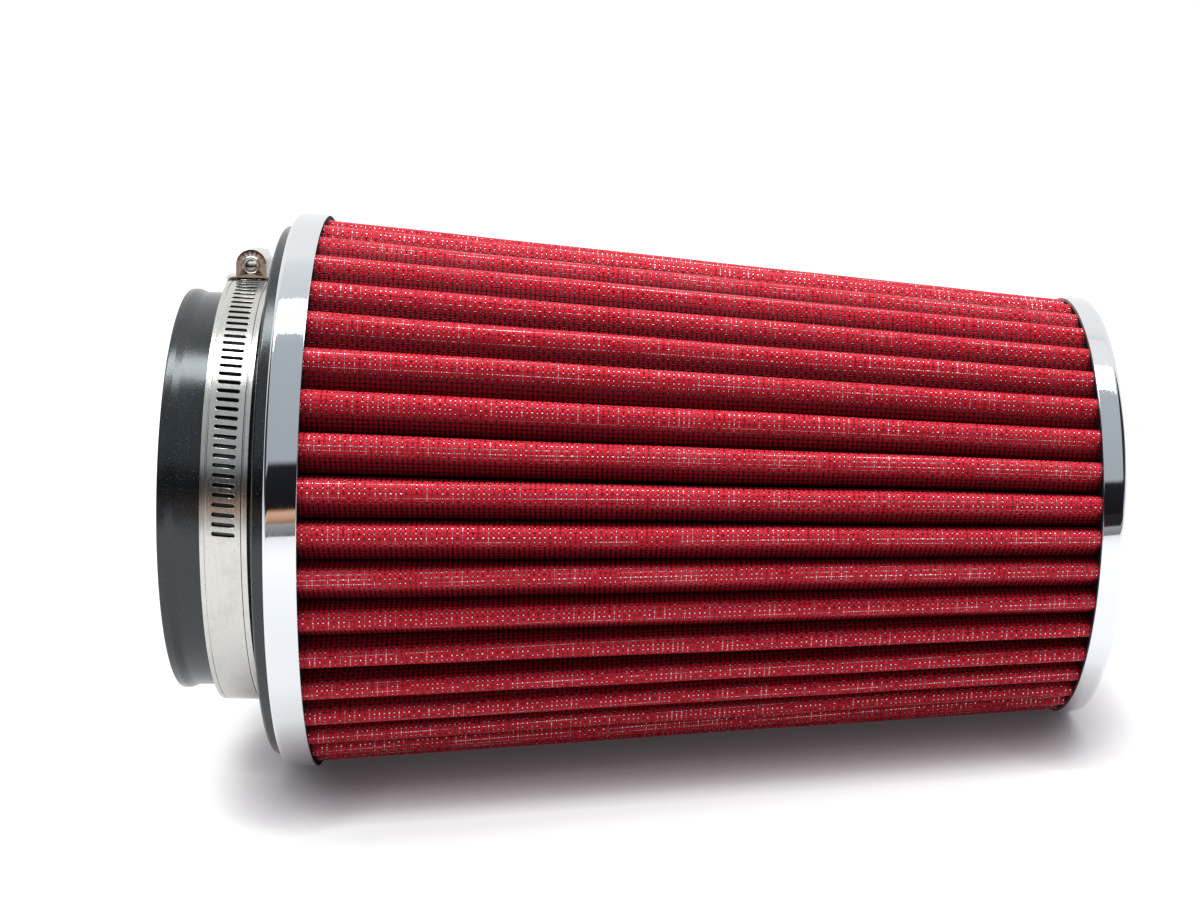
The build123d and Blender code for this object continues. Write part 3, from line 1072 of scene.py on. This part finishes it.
def make_world():
    """White studio: bright behind, grey above, and dark round the camera and high at both ends."""
    up, front = stage_axes()
    world = bpy.data.worlds.new("studio")
    bpy.context.scene.world = world
    world.use_nodes = True
    tree = Tree(world.node_tree)
    way = tree.place("Generated")
    rise = tree.dot(way, up)
    near = tree.dot(way, front)
    lengthways = tree.dot(way, up.cross(front))
    side = tree.math("ABSOLUTE", lengthways)

    # Colours by the angle above the level line to the camera, in degrees
    degrees = tree.math("MULTIPLY", tree.math("ARCTAN2", rise, near), 180 / math.pi)
    lowest = -20.0
    highest = 180.0
    ramp = tree.node("ShaderNodeValToRGB")
    tree.feed(ramp.inputs[0], tree.spread(degrees, lowest, highest, 0.0, 1.0, "LINEAR"))
    stops = [
        (-20.0, (0.80, 0.80, 0.82, 1)),
        (-6.0, (0.16, 0.16, 0.17, 1)),
        (-2.0, (0.18, 0.18, 0.19, 1)),
        (2.8, (0.38, 0.38, 0.39, 1)),
        (3.6, (0.34, 0.16, 0.09, 1)),
        (5.0, (0.62, 0.36, 0.23, 1)),
        (7.6, (0.80, 0.50, 0.34, 1)),
        (8.4, (0.30, 0.14, 0.08, 1)),
        (9.0, (0.01, 0.01, 0.013, 1)),
        (26.0, (0.016, 0.017, 0.021, 1)),
        (28.0, (0.44, 0.475, 0.51, 1)),
        (76.0, (0.49, 0.53, 0.56, 1)),
        (97.0, (0.72, 0.75, 0.77, 1)),
        (118.0, (0.84, 0.87, 0.89, 1)),
        (126.0, (1.0, 1.0, 1.0, 1)),
        (180.0, (1.0, 1.0, 1.0, 1)),
    ]
    bar = ramp.color_ramp
    while len(bar.elements) > 1:
        bar.elements.remove(bar.elements[-1])
    for number, (degree, colour) in enumerate(stops):
        position = (degree - lowest) / (highest - lowest)
        stop = bar.elements[0] if number == 0 else bar.elements.new(position)
        stop.position = position
        stop.color = colour
    room = ramp.outputs[0]

    # Strips on the cap's side of the room, by their middle and reach in degrees
    cap_end = tree.spread(lengthways, 0.02, 0.1)
    cap_strips = [
        (6.0, 2.8, (0.02, 0.02, 0.025, 1)),
        (108.0, 10.0, (1.0, 1.0, 1.0, 1)),
    ]
    for middle, reach, colour in cap_strips:
        strip = tree.math("COMPARE", degrees, middle, reach)
        room = tree.mix(tree.math("MULTIPLY", strip, cap_end), room, colour)

    # Walls at both ends, pale near the table and dark above, and the pale ground behind
    behind_limit = -0.35
    behind = tree.math("LESS_THAN", near, behind_limit)
    ahead = tree.math("SUBTRACT", 1.0, behind)
    dark_side = tree.math("MULTIPLY", tree.spread(side, 0.72, 0.8), ahead)
    side_wall = tree.mix(tree.spread(rise, 0.02, 0.16), (0.78, 0.79, 0.80, 1), (0.03, 0.03, 0.035, 1))
    room = tree.mix(dark_side, room, side_wall)
    below = tree.math("LESS_THAN", rise, 0.0)
    room = tree.mix(tree.math("MULTIPLY", below, behind), room, (0.9, 0.9, 0.92, 1))
    lit = tree.node("ShaderNodeBackground")
    tree.feed(lit.inputs["Color"], room)
    lit.inputs["Strength"].default_value = 1.0
    white = tree.node("ShaderNodeBackground")
    white.inputs["Color"].default_value = (1, 1, 1, 1)
    pick = tree.node("ShaderNodeMixShader")
    tree.feed(pick.inputs[0], tree.node("ShaderNodeLightPath").outputs["Is Camera Ray"])
    tree.feed(pick.inputs[1], lit.outputs[0])
    tree.feed(pick.inputs[2], white.outputs[0])
    output = tree.node("ShaderNodeOutputWorld")
    tree.feed(output.inputs["Surface"], pick.outputs[0])


def make_lamp(name, offset, size, energy):
    """Rectangular lamp at an offset from the filter's middle, turned to it, long side along the axis."""
    centre = Vector((0.0, 0.0, (cad_low.z + cad_high.z) / 2))
    lamp = bpy.data.lights.new(name, "AREA")
    lamp.shape = "RECTANGLE"
    lamp.size, lamp.size_y = size
    lamp.energy = energy
    box = place_object(name, lamp)
    back = offset.normalized()
    right = Vector((0.0, 0.0, 1.0))
    right = (right - right.dot(back) * back).normalized()
    turn = Matrix((right, back.cross(right), back)).transposed().to_4x4()
    box.matrix_world = Matrix.Translation(centre + offset) @ turn
    return box


def make_lamps():
    """Long softbox over the filter, and a wide soft fill from above the camera. Sizes in metres."""
    up, front = stage_axes()
    make_lamp("softbox", up * 0.9 + front * 0.05, size=(1.3, 0.25), energy=8.5)
    fill = make_lamp("fill", up * 0.95 + front * 0.6, size=(1.2, 0.8), energy=2.0)
    fill.visible_glossy = False


def make_camera():
    """Camera of the photograph: image right is nearly +Z and image up nearly -X."""
    farthest_metres = 100.0
    along = AXIS_IN_VIEW.normalized()
    image_up = Vector((0.0, 1.0, 0.0))
    x_axis = -(image_up - image_up.dot(along) * along).normalized()
    y_axis = along.cross(x_axis)
    to_view = Matrix((x_axis, y_axis, along)).transposed().to_4x4()
    data = bpy.data.cameras.new("camera")
    data.sensor_width = SENSOR_WIDTH
    data.lens = FOCAL_PIXELS * SENSOR_WIDTH / IMAGE_WIDTH
    data.clip_end = farthest_metres
    camera = place_object("camera", data)
    camera.matrix_world = (Matrix.Translation(MOUTH_IN_VIEW * MM) @ to_view).inverted()
    bpy.context.scene.camera = camera


make_base()
make_trim()
make_cap()
make_tip_disc()
make_media_piece()
make_band()
make_housing()
make_screw()
make_screw_head()
make_floor()
make_world()
make_lamps()
make_camera()
bpy.context.scene.view_settings.view_transform = "Standard"
